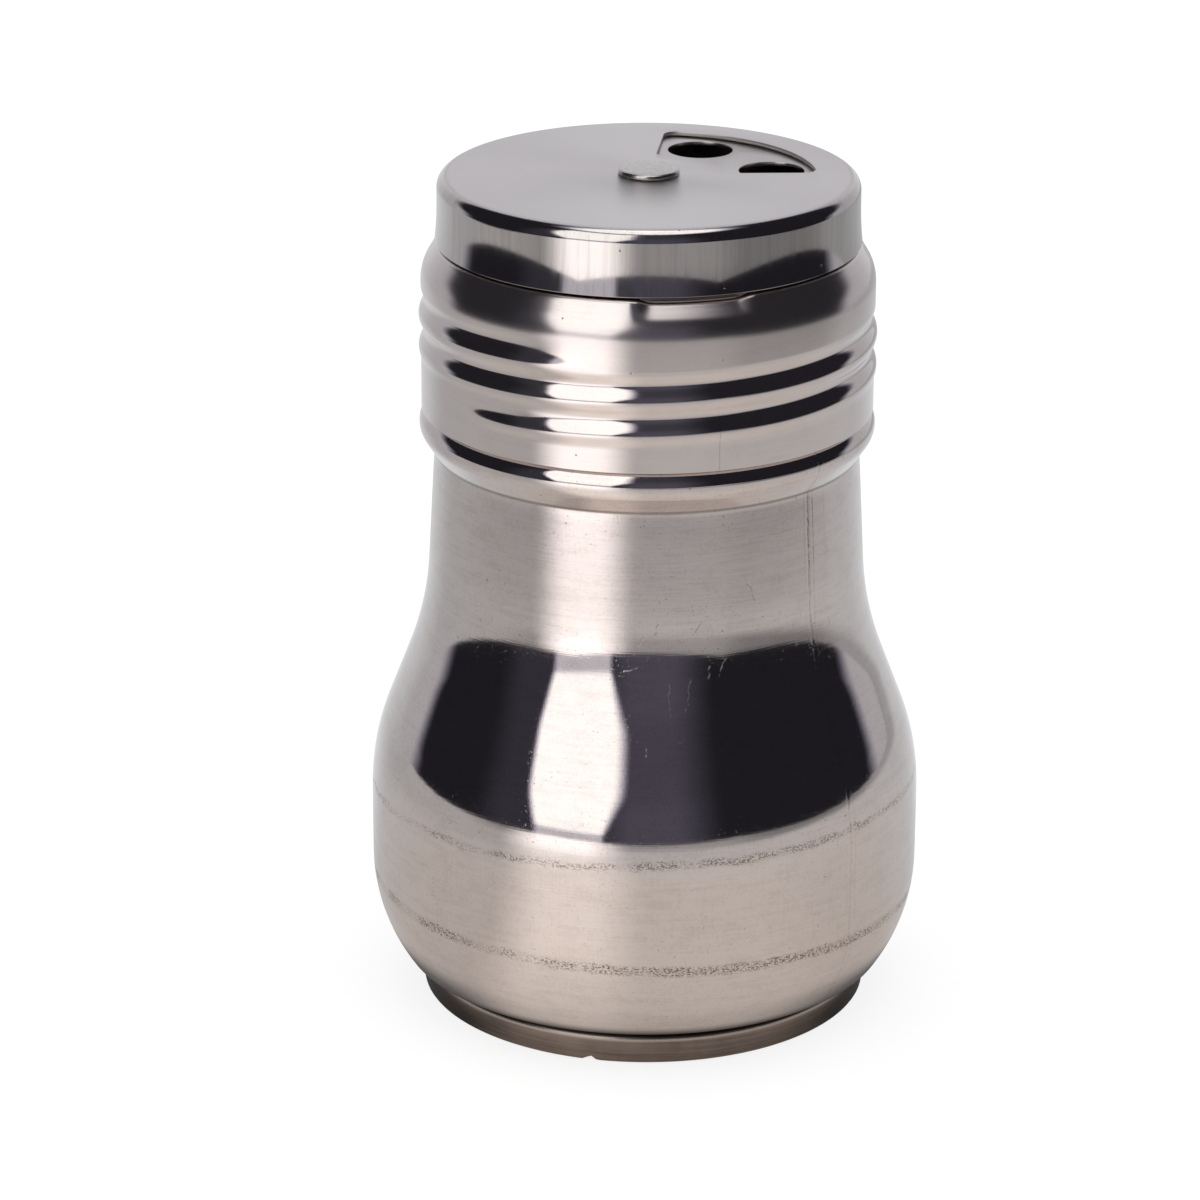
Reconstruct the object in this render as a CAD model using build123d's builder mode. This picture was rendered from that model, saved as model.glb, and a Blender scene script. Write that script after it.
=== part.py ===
from build123d import *
import math
import os

# A pressed sheet-metal spice shaker: a bellied container, a screw lid with a pierced plate on top,
# and a dial that turns on a rivet to bring its window over one zone of holes after another.
# Millimetres. The origin is the centre of the foot ring's resting face, +Z is up, the front is -Y.

os.makedirs("parts", exist_ok=True)

# Container: one sheet, rolled and welded, then bulged
body_sheet = 0.5
neck_r = 26.55  # outside of the neck at the thread
waist_r = 26.45  # outside of the neck under the stop bead
neck_foot_r = 27.6  # outside of the neck at its foot
belly_r = 34.7  # outside of the belly
heel_r = 30.6  # outside of the corner where the belly turns under
heel_lift = 0.95  # the heel's height over the seam
heel_to_belly = 6.35  # heel up to the corner below the belly
belly_height = 21.2  # between the corners below and above the belly
flank_height = 18.2  # from the belly's upper corner to the foot of the neck
neck_to_bead = 21.05  # from the foot of the neck to the stop bead
tuck_drop = 0.35  # how far the underside falls from the heel to the seam
belly_low_bend = 21.5
belly_top_bend = 30.0
neck_foot_bend = 42.0
heel_bend = 1.0
tuck_bend = 0.5

# Stop bead that the lid screws down to
bead_rise = 1.75  # how far it stands out of the neck
bead_height = 6.2
bead_crest_flat = 1.6
bead_top_slope = 1.75  # how far its upper side falls towards the crest
bead_inner_bend = 0.6  # where the neck meets the bead's upper side
bead_top_bend = 2.05
bead_low_bend = 2.3
bead_foot_bend = 0.5
neck_rise = 17.65  # from the bead's upper corner to the rim

# Bottom end and its double seam, which is the foot ring
foot_r = 28.25
end_sheet = 0.45
seam_height = 3.9
seam_gap = 0.1  # between the layers of the seam
body_hook_length = 0.95
panel_lift = 3.2  # underside of the bottom's panel over the table
foot_bend = 0.24
panel_bend = 0.9

# Screw thread, rolled into the neck and the lid
thread_pitch = 4.15
thread_start = -135.0  # direction of the lower end of the lid's thread, in degrees
thread_lift = 4.3  # lower end of the lid's thread over the lid's edge
lid_ridge_turns = 2.05
lid_valley_first = 1.05  # the lid's inward ridge, in turns along the thread
lid_valley_last = 3.03
neck_thread_first = 0.9  # the neck's ridge, in turns along the thread
neck_thread_last = 2.5
neck_ridge_rise = 0.75
neck_ridge_width = 1.8
neck_groove_depth = 0.5
neck_groove_width = 1.2
thread_clearance = 0.25  # neck's ridge to the lid's wall
thread_root_clearance = 0.25  # lid's inward ridge to the neck's wall
lid_ridge_rise = 0.3
lid_ridge_width = 2.2
lid_groove_depth = 0.3
lid_groove_width = 1.5
lid_inward_width = 1.7
lid_valley_depth = 0.4
lid_valley_width = 1.8
ridge_bury = 0.1  # how far a rolled ridge's root lies inside its wall

# Lid
lid_sheet = 0.5
lid_edge_gap = 0.14  # the lid's rounded edge to the upper side of the stop bead
rim_lead = 0.6  # the neck's rim over the start of the lid's shoulder
shoulder_height = 2.95
shoulder_run = 1.8  # how far the shoulder leans in
ledge_width = 1.1  # flat step that the dial's skirt stands over
crown_height = 7.64  # from the ledge to the plate
shoulder_bend = 5.5
ledge_bend = 0.5
crown_bend = 0.8

# Zones of holes in the lid's plate, each a quarter turn from the next; the fourth is blank
pour_zone = 41.9  # direction of the first zone's middle, in degrees
hole_ring_r = 15.85
pour_hole_r = 4.05
pour_hole_step = 48.5  # degrees between the two large holes
shake_hole_r = 1.6
shake_ring_r = (12.5, 17.5)
shake_counts = (3, 4)  # holes on each ring
shake_spread = 50.0  # degrees from a row's first hole to its last
fine_hole_r = 0.8
fine_ring_r = (11.0, 13.5, 16.0, 18.5)
fine_counts = (4, 5, 6, 7)
fine_spread = 54.0

# Dial
dial_sheet = 0.5
dial_gap = 0.3  # over the lid's plate
dial_clearance = 0.35  # round the lid's crown
skirt_gap = 0.3  # over the lid's ledge
dial_bend = 1.35
flare = 0.3
flare_height = 1.75
flare_bend = 6.0
window_inner_r = 9.0
window_outer_r = 20.6
window_start = 2.5  # degrees
window_sweep = 82.0
window_inner_bend = 0.7
window_outer_bend = 1.6

# Rivet set
shank_r = 2.0
running_clearance = 0.05
head_r = 3.6
head_height = 0.7
head_bend = 0.25
head_gap = 0.06  # head over the dial
washer_gap = 0.08  # dished washer under the plate
dished_r = 4.4
dished_sheet = 0.3
dish = 0.3
tail_washer_r = 5.0
tail_washer_sheet = 0.5
tail_r = 3.3
tail_height = 0.9
tail_bend = 0.4

# Heights and radii that follow
half_body = body_sheet / 2
half_end = end_sheet / 2
half_lid = lid_sheet / 2
half_dial = dial_sheet / 2

heel_z = seam_height + heel_lift
belly_low_z = heel_z + heel_to_belly
belly_top_z = belly_low_z + belly_height
neck_foot_z = belly_top_z + flank_height
bead_low_z = neck_foot_z + neck_to_bead
bead_top_z = bead_low_z + bead_height
rim_z = bead_top_z + neck_rise

seaming_wall_r = foot_r - half_end
body_hook_r = seaming_wall_r - half_end - seam_gap - half_body
end_hook_r = body_hook_r - half_body - seam_gap - half_end
body_wall_r = end_hook_r - half_end - seam_gap - half_body
chuck_wall_r = body_wall_r - half_body - seam_gap - half_end
body_fold_r = (body_hook_r - body_wall_r) / 2
end_fold_r = (seaming_wall_r - end_hook_r) / 2
body_fold_z = end_sheet + seam_gap + half_body + body_fold_r
end_fold_z = seam_height - half_end - end_fold_r

lid_inner_r = neck_r + neck_ridge_rise + thread_clearance
lid_r = lid_inner_r + lid_sheet
bead_lean = math.atan2(bead_top_slope, bead_rise)
lid_edge_reach = half_body + lid_edge_gap + half_lid  # between the two sheets' middle lines
lid_wall_offset = (lid_r - half_lid) - (neck_r - half_body)
lid_seat_z = bead_top_z - lid_wall_offset * math.tan(bead_lean) + lid_edge_reach / math.cos(bead_lean)
lid_edge_z = lid_seat_z - half_lid
shoulder_z = rim_z - rim_lead
ledge_z = shoulder_z + shoulder_height
plate_z = ledge_z + crown_height
crown_r = lid_r - half_lid - shoulder_run - ledge_width
plate_top_z = plate_z + half_lid
thread_z = lid_edge_z + thread_lift
inward_ridge_r = neck_r + thread_root_clearance

dial_z = plate_top_z + dial_gap + half_dial
dial_top_z = dial_z + half_dial
skirt_r = crown_r + half_lid + dial_clearance + half_dial
skirt_z = ledge_z + half_lid + skirt_gap + half_dial

rivet_hole_r = shank_r + running_clearance
head_z = dial_top_z + head_gap
dished_top_z = plate_z - half_lid - washer_gap
tail_washer_top_z = dished_top_z - dish - dished_sheet - running_clearance
tail_top_z = tail_washer_top_z - tail_washer_sheet


def fitted_bends(points, bends):
    """The bends wanted at a path's corners, made smaller where a run between corners is too short."""
    runs = [math.dist(start, end) for start, end in zip(points, points[1:])]
    headings = [math.atan2(end[1] - start[1], end[0] - start[0]) for start, end in zip(points, points[1:])]
    turns = [math.remainder(after - before, math.tau) for before, after in zip(headings, headings[1:])]
    tangents = [bend * math.tan(abs(turn) / 2) for bend, turn in zip(bends, turns)]
    used = [near + far for near, far in zip([0, *tangents], [*tangents, 0])]
    room = [min(1, 0.98 * run / length) for run, length in zip(runs, used)]
    return [bend * min(before, after) for bend, before, after in zip(bends, room, room[1:])]


def sheet_section(points, bends, sheet, hook=()):
    """Half section of a pressed sheet. Its middle line runs through the points, and then, where a
    hook is given, folds back over a half circle to the hook's two points."""
    with BuildSketch(Plane.XZ) as section:
        with BuildLine():
            FilletPolyline(*points, radius=fitted_bends(points, bends))
            if hook:
                fold_start = points[-1]
                fold_end = hook[0]
                reach = abs(fold_end[0] - fold_start[0]) / 2
                down = math.copysign(reach, fold_start[1] - points[-2][1])
                fold_top = ((fold_start[0] + fold_end[0]) / 2, fold_start[1] + down)
                ThreePointArc(fold_start, fold_top, fold_end)
                Line(*hook)
            offset(amount=sheet / 2)
        make_face()
        split(bisect_by=Plane.YZ)
    return section.sketch


def thread_path(first_turn, last_turn, radius, shift=0.0):
    """The thread's helix between two places along it, counted in turns from its lower end."""
    low = thread_z + thread_pitch * (first_turn + shift)
    with BuildLine(Plane.XY.offset(low)) as path:
        Helix(pitch=thread_pitch, height=thread_pitch * (last_turn - first_turn), radius=radius)
    return path.line.rotate(Axis.Z, thread_start + 360 * first_turn)


def rolled_ridge(path, wall_r, root_r, crest_r, width):
    """A round ridge or groove along a helix at wall_r, from its root to its crest."""
    start = path @ 0
    outward = Vector(start.X, start.Y, 0).normalized()
    with BuildSketch(Plane(origin=start, x_dir=outward, z_dir=path % 0)) as section:
        with BuildLine():
            low = (root_r - wall_r, -width / 2)
            high = (root_r - wall_r, width / 2)
            ThreePointArc(low, (crest_r - wall_r, 0), high)
            Line(high, low)
        make_face()
    return sweep(section.sketch, path=path, is_frenet=True, mode=Mode.PRIVATE)


def hole_rows(rings, counts, middle, spread, radius):
    """Rows of holes on rings round the axis, spread evenly about one direction."""
    for ring_r, count in zip(rings, counts):
        with PolarLocations(ring_r, count, middle - spread / 2, spread, endpoint=True):
            Circle(radius)


# Container
with BuildPart() as body_shell:
    neck_middle_r = neck_r - half_body
    belly_middle_r = belly_r - half_body
    bead_middle_r = neck_middle_r + bead_rise
    bead_crest_z = bead_top_z - bead_top_slope
    container_line = [
        (neck_middle_r, rim_z - half_body),
        (neck_middle_r, bead_top_z),
        (bead_middle_r, bead_crest_z),
        (bead_middle_r, bead_crest_z - bead_crest_flat),
        (waist_r - half_body, bead_low_z),
        (neck_foot_r - half_body, neck_foot_z),
        (belly_middle_r, belly_top_z),
        (belly_middle_r, belly_low_z),
        (heel_r - half_body, heel_z + half_body),
        (body_wall_r, heel_z + half_body - tuck_drop),
        (body_wall_r, body_fold_z),
    ]
    container_bends = [
        bead_inner_bend,
        bead_top_bend,
        bead_low_bend,
        bead_foot_bend,
        neck_foot_bend,
        belly_top_bend,
        belly_low_bend,
        heel_bend,
        tuck_bend,
    ]
    body_hook = [(body_hook_r, body_fold_z), (body_hook_r, body_fold_z + body_hook_length)]
    revolve(sheet_section(container_line, container_bends, body_sheet, body_hook), axis=Axis.Z)
    neck_helix = thread_path(neck_thread_first, neck_thread_last, neck_r)
    neck_inner_r = neck_r - body_sheet
    add(rolled_ridge(neck_helix, neck_r, neck_r - ridge_bury, neck_r + neck_ridge_rise, neck_ridge_width))
    add(
        rolled_ridge(
            neck_helix, neck_r, neck_inner_r - ridge_bury, neck_inner_r + neck_groove_depth, neck_groove_width
        ),
        mode=Mode.SUBTRACT,
    )
body_shell.part.label = "body_shell"
export_step(body_shell.part, "parts/body_shell.step")

# Bottom end: raised panel, wall down to the table, foot, and the hook round the container's edge
with BuildPart() as bottom_end:
    panel_z = panel_lift + half_end
    end_line = [
        (0, panel_z),
        (chuck_wall_r, panel_z),
        (chuck_wall_r, half_end),
        (seaming_wall_r, half_end),
        (seaming_wall_r, end_fold_z),
    ]
    end_hook = [(end_hook_r, end_fold_z), (end_hook_r, body_fold_z)]
    revolve(sheet_section(end_line, [panel_bend, foot_bend, foot_bend], end_sheet, end_hook), axis=Axis.Z)
bottom_end.part.label = "bottom_end"
export_step(bottom_end.part, "parts/bottom_end.step")

# Sealing compound over the container's hook, under the end's fold
with BuildPart() as seam_compound:
    compound_low_z = body_fold_z + body_hook_length + half_body + seam_gap
    compound_high_z = end_fold_z + seam_gap
    with BuildSketch(Plane.XY.offset(compound_low_z)):
        Circle(body_hook_r + half_body - seam_gap / 2)
        Circle(body_hook_r - half_body + seam_gap / 2, mode=Mode.SUBTRACT)
    extrude(amount=compound_high_z - compound_low_z)
seam_compound.part.label = "seam_compound"
export_step(seam_compound.part, "parts/seam_compound.step")

# Screw lid: threaded wall, shoulder, ledge, crown and the pierced plate
with BuildPart() as lid_shell:
    wall_middle_r = lid_r - half_lid
    lid_line = [
        (wall_middle_r, lid_edge_z + half_lid),
        (wall_middle_r, shoulder_z),
        (wall_middle_r - shoulder_run, ledge_z),
        (crown_r, ledge_z),
        (crown_r, plate_z),
        (0, plate_z),
    ]
    lid_bends = [shoulder_bend, ledge_bend, ledge_bend, crown_bend]
    revolve(sheet_section(lid_line, lid_bends, lid_sheet), axis=Axis.Z)
    ridge_helix = thread_path(0, lid_ridge_turns, lid_r)
    valley_helix = thread_path(lid_valley_first, lid_valley_last, lid_r, shift=-0.5)
    add(rolled_ridge(ridge_helix, lid_r, lid_r - ridge_bury, lid_r + lid_ridge_rise, lid_ridge_width))
    inward_root_r = lid_inner_r + ridge_bury
    add(rolled_ridge(valley_helix, lid_r, inward_root_r, inward_ridge_r, lid_inward_width))
    add(
        rolled_ridge(
            ridge_helix, lid_r, lid_inner_r - ridge_bury, lid_inner_r + lid_groove_depth, lid_groove_width
        ),
        mode=Mode.SUBTRACT,
    )
    valley_root_r = lid_r + ridge_bury
    add(
        rolled_ridge(valley_helix, lid_r, valley_root_r, lid_r - lid_valley_depth, lid_valley_width),
        mode=Mode.SUBTRACT,
    )
    with BuildSketch(Plane.XY.offset(plate_top_z)):
        hole_rows([hole_ring_r], [2], pour_zone, pour_hole_step, pour_hole_r)
        hole_rows(shake_ring_r, shake_counts, pour_zone + 90, shake_spread, shake_hole_r)
        hole_rows(fine_ring_r, fine_counts, pour_zone + 180, fine_spread, fine_hole_r)
        Circle(rivet_hole_r)
    extrude(amount=-lid_sheet, mode=Mode.SUBTRACT)
lid_shell.part.label = "lid_shell"
export_step(lid_shell.part, "parts/lid_shell.step")

# Dial: shallow cap with a flared skirt and a sector window
with BuildPart() as dial_cap:
    dial_line = [
        (0, dial_z),
        (skirt_r, dial_z),
        (skirt_r, skirt_z + flare_height),
        (skirt_r + flare, skirt_z),
    ]
    revolve(sheet_section(dial_line, [dial_bend, flare_bend], dial_sheet), axis=Axis.Z)
    with BuildSketch(Plane.XY.offset(dial_top_z)) as window:
        with BuildLine():
            outer_arc = CenterArc((0, 0), window_outer_r, window_start, window_sweep)
            inner_arc = CenterArc((0, 0), window_inner_r, window_start, window_sweep)
            Line(outer_arc @ 0, inner_arc @ 0)
            Line(outer_arc @ 1, inner_arc @ 1)
        make_face()
        corners = window.vertices().sort_by_distance((0, 0, dial_top_z))
        fillet(corners[:2], window_inner_bend)
        corners = window.vertices().sort_by_distance((0, 0, dial_top_z))
        fillet(corners[-2:], window_outer_bend)
        Circle(rivet_hole_r)
    extrude(amount=-dial_sheet, mode=Mode.SUBTRACT)
dial_cap.part.label = "dial_cap"
export_step(dial_cap.part, "parts/dial_cap.step")

# Rivet: flat head over the dial, shank through dial and plate, upset tail under the washers
with BuildPart() as center_rivet:
    with BuildSketch(Plane.XY.offset(head_z)):
        Circle(head_r)
    extrude(amount=head_height)
    fillet(center_rivet.edges().group_by(Axis.Z)[-1], head_bend)
    with BuildSketch(Plane.XY.offset(tail_top_z)):
        Circle(shank_r)
    extrude(amount=head_z - tail_top_z)
    with BuildSketch(Plane.XY.offset(tail_top_z)):
        Circle(tail_r)
    extrude(amount=-tail_height)
    fillet(center_rivet.edges().group_by(Axis.Z)[0], tail_bend)
center_rivet.part.label = "center_rivet"
export_step(center_rivet.part, "parts/center_rivet.step")

# Dished washer, its outer edge up against the plate
with BuildPart() as dished_washer:
    with BuildSketch(Plane.XZ):
        with BuildLine():
            Polyline(
                (rivet_hole_r, dished_top_z - dish - dished_sheet),
                (dished_r, dished_top_z - dished_sheet),
                (dished_r, dished_top_z),
                (rivet_hole_r, dished_top_z - dish),
                close=True,
            )
        make_face()
    revolve(axis=Axis.Z)
dished_washer.part.label = "dished_washer"
export_step(dished_washer.part, "parts/dished_washer.step")

# Flat washer that the rivet's tail is set against
with BuildPart() as tail_washer:
    with BuildSketch(Plane.XY.offset(tail_top_z)):
        Circle(tail_washer_r)
        Circle(rivet_hole_r, mode=Mode.SUBTRACT)
    extrude(amount=tail_washer_sheet)
tail_washer.part.label = "tail_washer"
export_step(tail_washer.part, "parts/tail_washer.step")
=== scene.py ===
import math

import bmesh
import bpy
from mathutils import Matrix, Vector, noise


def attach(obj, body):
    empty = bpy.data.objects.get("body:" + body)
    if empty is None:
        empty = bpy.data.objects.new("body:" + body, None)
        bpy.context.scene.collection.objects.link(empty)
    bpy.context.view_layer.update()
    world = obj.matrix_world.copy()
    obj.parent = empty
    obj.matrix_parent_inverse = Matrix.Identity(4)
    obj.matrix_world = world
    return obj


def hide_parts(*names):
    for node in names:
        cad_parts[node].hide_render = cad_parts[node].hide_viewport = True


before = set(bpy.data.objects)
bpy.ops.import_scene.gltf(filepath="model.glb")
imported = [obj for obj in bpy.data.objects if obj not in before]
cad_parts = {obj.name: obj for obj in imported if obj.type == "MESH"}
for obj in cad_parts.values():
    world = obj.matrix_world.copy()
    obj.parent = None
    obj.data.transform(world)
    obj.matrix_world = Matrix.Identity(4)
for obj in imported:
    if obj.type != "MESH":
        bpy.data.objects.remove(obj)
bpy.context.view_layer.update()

# A pressed steel spice shaker: bellied container, screw lid, dial on a rivet.
# Lengths are in millimetres up to the point where a mesh is made, and heights are over the table.
# Directions are in degrees round the axis: 0 at the shaker's right, 90 at its back, -90 in front.
MM = 0.001

# container: plain neck, stop bead, waist, belly, heel, and a hook inside the foot
body_sheet = 0.5
rim_z = 95.5
neck_r = 26.55
bead_rise = 1.75  # how far the bead stands out, and how high its sloping top is
bead_side_end = 3.35  # from the bead's top down to the end of its side
bead_r = neck_r + bead_rise
bead_top_z = 77.85
bead_low_z = 71.65
waist_r = 26.45
neck_foot_r = 27.6
neck_foot_z = 50.6
belly_r = 34.7
belly_top_z = 32.4
belly_low_z = 11.2
heel_r = 30.6
heel_z = 4.85
heel_slope = 0.35
body_wall_r = 26.3
body_fold_z = 1.375
body_hook_r = 27.45
body_hook_end_z = 2.325
body_bends = [0.6, 2.05, 2.3, 0.5, 42.0, 30.0, 21.5, 1.0, 0.5]

# bottom: countersunk panel, and the seam that makes the foot ring
end_sheet = 0.45
panel_z = 3.425
chuck_wall_r = 25.725
end_wall_r = 28.025
end_fold_z = 3.1
end_hook_r = 26.875
end_hook_end_z = 1.375
end_bends = [0.9, 0.24, 0.24]
nick_azimuth = -103.5
nick_reach = 1.7  # degrees to either side
nick_top_z = 1.2

# lid
lid_sheet = 0.5
lid_r = 28.05
lid_edge_z = 77.0
shoulder_z = 94.9
shoulder_run = 1.8
ledge_z = 97.85
crown_r = 24.9
plate_z = 105.49
plate_rim_r = crown_r - 2.5
lid_bends = [5.5, 0.5, 0.5, 0.8]
lid_seam_azimuth = -72.0
dent_azimuth = -77.5
dent_reach, dent_edge = 16.5, 5.0  # degrees to either side, and over which it fades out
dent_low_z = 95.3

# thread, rolled into the neck and the lid
thread_z = 81.3
thread_pitch = 4.15
thread_start = -135.0

# holes of the lid's plate: direction from the pouring holes, degrees from the first hole to the
# last, radius of a hole, and the rings with the number of holes on each
pour_azimuth = 41.9
plate_zones = [
    (0, 48.5, 4.05, [(15.85, 2)]),
    (90, 50, 1.6, [(12.5, 3), (17.5, 4)]),
    (180, 54, 0.8, [(11.0, 4), (13.5, 5), (16.0, 6), (18.5, 7)]),
]

# dial
dial_sheet = 0.5
dial_z = 106.29
skirt_r = 25.75
skirt_z = 98.5
flare_r = 26.01
flare_height = 2.4
dial_rim_r = skirt_r - 2.6
dial_bends = [1.35, 43.0]
window_start, window_end = math.radians(2.5), math.radians(84.5)  # its sides, in radians
window_inner_r, window_inner_bend = 9.0, 0.7
window_outer_r, window_outer_bend = 20.6, 1.6

# rivet and washers
rivet_hole_r = 2.05
rivet_shank_r = 2.0
rivet_top_z = 107.3
rivet_end_z = 103.11
# radius of the head, and depth under its top
rivet_head = [
    (0, 0), (1.6, 0.005), (2.9, 0.025), (3.4, 0.07), (3.65, 0.17), (3.73, 0.32), (3.74, 0.5),
    (3.71, 0.64), (3.64, 0.7), (rivet_shank_r, 0.7),
]
# radius of the tail, and height over its end
rivet_tail = [
    (rivet_shank_r, 0.9), (3.2, 0.9), (3.3, 0.79), (3.28, 0.49), (3.1, 0.21), (2.7, 0.05),
    (rivet_shank_r, 0), (0, 0),
]
flat_washer_z = 104.01
dished_washer_z = 104.56

# marks on the container
upper_specks_z = 29.1
lower_specks_z = 15.3
weld_azimuth = -42.6
# lines of the weld: place beside it, half width, soft edge and strength
weld_lines = [
    (0, 0.08, 0.16, 1.0), (0.85, 0.04, 0.14, 0.7),
    (-0.7, 0.03, 0.12, 0.35), (3.2, 0.02, 0.12, 0.25),
]
# scratches: direction, height and length of each, and degrees off upright
hairline_scratches = [
    (-91.0, 55.6, 1.4, 30), (-87.0, 57.0, 1.9, 8), (-76.5, 57.0, 1.9, 25), (-94.0, 52.1, 2.6, 68),
    (-84.2, 48.4, 5.6, -2), (-79.6, 48.9, 4.9, 12), (-74.0, 51.6, 1.9, 6), (-70.5, 51.9, 3.1, 20),
    (-89.5, 42.2, 2.2, 0), (-81.5, 43.8, 1.3, 80), (-123.0, 24.0, 3.0, 50), (-62.0, 61.0, 3.4, -28),
    (8.0, 40.0, 4.5, 15), (75.0, 52.0, 4.0, -20), (128.0, 36.0, 5.0, 10), (170.0, 55.0, 3.5, 35),
    (-160.0, 44.0, 4.0, -8),
]


# ---------------------------------------------------------------- profiles

def fitted_bends(corners, bends):
    """Bends made smaller where the run between two corners is too short for both."""
    most_of_run = 0.98
    runs = [math.dist(a, b) for a, b in zip(corners, corners[1:])]
    headings = [math.atan2(b[1] - a[1], b[0] - a[0]) for a, b in zip(corners, corners[1:])]
    turns = [math.remainder(b - a, math.tau) for a, b in zip(headings, headings[1:])]
    tangents = [bend * math.tan(abs(turn) / 2) for bend, turn in zip(bends, turns)]
    used = [near + far for near, far in zip([0, *tangents], [*tangents, 0])]
    room = [min(1, most_of_run * run / length) for run, length in zip(runs, used)]
    return [bend * min(before, after) for bend, before, after in zip(bends, room, room[1:])]


def bent_line(corners, bends, arc_step, run_step):
    """Points along a sheet's middle line, with its corners bent round and long runs divided."""
    line = [corners[0]]
    bends = fitted_bends(corners, bends)
    for before, corner, after, bend in zip(corners, corners[1:], corners[2:], bends):
        back = (Vector(before) - Vector(corner)).normalized()
        ahead = (Vector(after) - Vector(corner)).normalized()
        half = back.angle(ahead) / 2
        reach = bend / math.tan(half)
        centre = Vector(corner) + (back + ahead).normalized() * bend / math.sin(half)
        first = Vector(corner) + back * reach - centre
        last = Vector(corner) + ahead * reach - centre
        start = math.atan2(first.y, first.x)
        turn = math.remainder(math.atan2(last.y, last.x) - start, math.tau)
        steps = max(4, round(abs(turn) * bend / arc_step))
        for k in range(steps + 1):
            angle = start + turn * k / steps
            line.append((centre.x + bend * math.cos(angle), centre.y + bend * math.sin(angle)))
    line.append(corners[-1])
    divided = [line[0]]
    for a, b in zip(line, line[1:]):
        steps = max(1, math.ceil(math.dist(a, b) / run_step))
        divided += [tuple(Vector(a).lerp(Vector(b), k / steps)) for k in range(1, steps + 1)]
    return divided


def eased(line, low_z, high_z, rounds):
    """Evens out how a line curves between two heights, as in a sheet bulged under pressure."""
    points = [Vector(p) for p in line]
    moving = [k for k in range(1, len(points) - 1) if low_z < points[k].y < high_z]
    for _ in range(rounds):
        evened = {k: (points[k - 1] + 2 * points[k] + points[k + 1]) / 4 for k in moving}
        points = [evened.get(k, point) for k, point in enumerate(points)]
    return [tuple(p) for p in points]


def folded_back(line, hook_r, hook_end_z, steps=10):
    """The line with a half-circle fold at its end and a straight hook after it."""
    start_r, start_z = line[-1]
    down = math.copysign(1, start_z - line[-2][1])
    middle = (start_r + hook_r) / 2
    reach = (start_r - hook_r) / 2
    fold = []
    for k in range(1, steps + 1):
        turn = math.pi * k / steps
        fold.append((middle + reach * math.cos(turn), start_z + down * abs(reach) * math.sin(turn)))
    return line + fold + [(hook_r, hook_end_z)]


def skin_of(line, sheet, start_closed=True, end_closed=True):
    """The outline of a sheet round its middle line: one side, a rounded edge, the other side."""
    half = sheet / 2
    points = [Vector(p) for p in line]
    left, right = [], []
    for k, point in enumerate(points):
        ahead = (points[min(k + 1, len(points) - 1)] - points[max(k - 1, 0)]).normalized()
        normal = Vector((ahead.y, -ahead.x))
        left.append(point + normal * half)
        right.append(point - normal * half)

    def cut_edge(point, before):
        """Two points that round a cut edge."""
        outward = (point - before).normalized()
        across = Vector((outward.y, -outward.x))
        out_share, across_share = 0.35, 0.75
        tip = point + outward * half * out_share
        return [tip + across * half * across_share, tip - across * half * across_share]

    outline = list(left)
    if end_closed:
        outline += cut_edge(points[-1], points[-2])
    outline += reversed(right)
    if start_closed:
        outline += cut_edge(points[0], points[1])
    return [tuple(p) for p in outline]


# ---------------------------------------------------------------- meshes

def even_angles(count, fine_at=None):
    """Directions round the axis, closer together beside the weld where one is given."""
    angles = [360 * k / count for k in range(count)]
    if fine_at is not None:
        fine_step, fine_steps, cleared = 0.12, 14, 2.0
        fine = [(fine_at + fine_step * k) % 360 for k in range(-fine_steps, fine_steps + 1)]
        angles = [a for a in angles if abs(math.remainder(a - fine_at, 360)) > cleared] + fine
    return sorted(angles)


def turned(mesh, outline, angles, form=None, closed=True):
    """Turns an outline round the axis. form(r, z, angle) gives each point's own r and z."""
    on_axis = 1e-6
    rings = []
    for r, z in outline:
        if r < on_axis:
            rings.append([mesh.verts.new((0, 0, z * MM))])
            continue
        ring = []
        for angle in angles:
            own_r, own_z = form(r, z, angle) if form else (r, z)
            turn = math.radians(angle)
            place = (own_r * math.cos(turn) * MM, own_r * math.sin(turn) * MM, own_z * MM)
            ring.append(mesh.verts.new(place))
        rings.append(ring)
    pairs = list(zip(rings, rings[1:]))
    if closed:
        pairs.append((rings[-1], rings[0]))
    count = len(angles)
    for low, high in pairs:
        if len(low) == 1 and len(high) == 1:
            continue
        for k in range(count):
            n = (k + 1) % count
            if len(low) == 1:
                mesh.faces.new((low[0], high[n], high[k]))
            elif len(high) == 1:
                mesh.faces.new((low[k], low[n], high[0]))
            else:
                mesh.faces.new((low[k], low[n], high[n], high[k]))
    return rings


def grown(loop, distance):
    """A closed loop of plan points, moved outwards by a distance."""
    moved = []
    for k, point in enumerate(loop):
        ahead = (Vector(loop[(k + 1) % len(loop)]) - Vector(loop[k - 1])).normalized()
        moved.append(Vector(point) + Vector((ahead.y, -ahead.x)) * distance)
    return [tuple(p) for p in moved]


def round_hole(x, y, radius, steps):
    """Plan of a round hole."""
    turns = [math.tau * k / steps for k in range(steps)]
    return [(x + radius * math.cos(turn), y + radius * math.sin(turn)) for turn in turns]


def edges_round(mesh, loop):
    """The edges of a closed loop of vertices, made where there are none yet."""
    pairs = zip(loop, loop[1:] + loop[:1])
    return [mesh.edges.get(pair) or mesh.edges.new(pair) for pair in pairs]


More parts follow.
